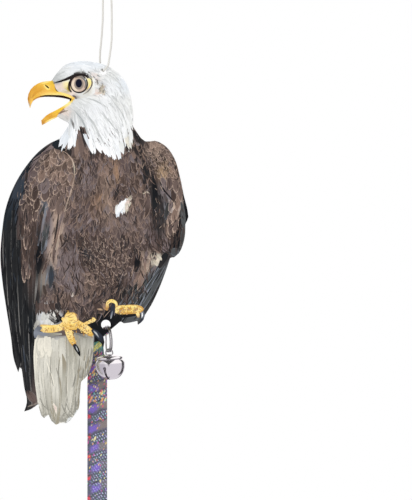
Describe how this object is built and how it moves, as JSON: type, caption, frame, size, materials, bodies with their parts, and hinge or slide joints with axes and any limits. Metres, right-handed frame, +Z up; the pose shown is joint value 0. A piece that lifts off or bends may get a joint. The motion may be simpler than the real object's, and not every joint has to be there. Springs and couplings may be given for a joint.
{
  "type": "bird scarer",
  "caption": "Flat die-cut eagle board hung on a looped cord, with a jingle bell on a split ring in its lower edge and a holographic ribbon hanging behind.",
  "frame": {"origin": "inside of the top of the hang loop, where a hook or a branch carries the scarer", "axes": "+Z up along the cord, the board in the XZ plane, its front face towards -Y and the eagle's beak towards -X"},
  "size_m": [0.188, 0.0315, 0.6504],
  "materials": {
    "foam_board": "matt",
    "print_film": "satin",
    "cotton_cord": "matt",
    "ring_steel": "polished",
    "eye_wire": "polished",
    "bell_chrome": "polished",
    "pea_steel": "plain",
    "holo_film": "holographic"
  },
  "bodies": {
    "hanger": {"cord_knot": "cotton_cord", "hang_loop": "cotton_cord"},
    "cord": {"hanging_cord": "cotton_cord"},
    "board": {"board_core": "foam_board", "front_print": "print_film", "back_print": "print_film"},
    "ring": {"split_ring": "ring_steel", "ribbon_knot": "holo_film"},
    "bell": {"bell_eye": "eye_wire", "bell_cap": "bell_chrome", "bell_bowl": "bell_chrome"},
    "pea": {"bell_pea": "pea_steel"},
    "ribbon": {"ribbon": "holo_film"}
  },
  "joints": [
    {"name": "cord_twist", "type": "hinge", "parent": "hanger", "child": "cord", "pos_m": [0, 0, -0.031], "axis": [0, 0, 1], "range_deg": [-180, 180]},
    {"name": "board_rock", "type": "hinge", "parent": "cord", "child": "board", "pos_m": [-0.0039, 0, -0.1295], "axis": [0, 1, 0], "range_deg": [-25, 25], "stiffness_Nm_per_rad": 0.1, "springref_deg": 15.3},
    {"name": "ring_swing", "type": "hinge", "parent": "board", "child": "ring", "pos_m": [-0.0001, 0, -0.385], "axis": [0, -1, 0], "range_deg": [0, 35]},
    {"name": "bell_swing", "type": "hinge", "parent": "ring", "child": "bell", "pos_m": [0.0018, 0.00049, -0.40992], "axis": [0.2487, -0.9686, 0], "range_deg": [0, 40]},
    {"name": "pea_rattle", "type": "slide", "parent": "bell", "child": "pea", "axis": [-0.076, -0.0195, 0.9969], "range_m": [0, 0.015]},
    {"name": "ribbon_swing", "type": "hinge", "parent": "ring", "child": "ribbon", "pos_m": [-0.00926, 0.01236, -0.39637], "axis": [1, 0, 0], "range_deg": [0, 50]}
  ]
}
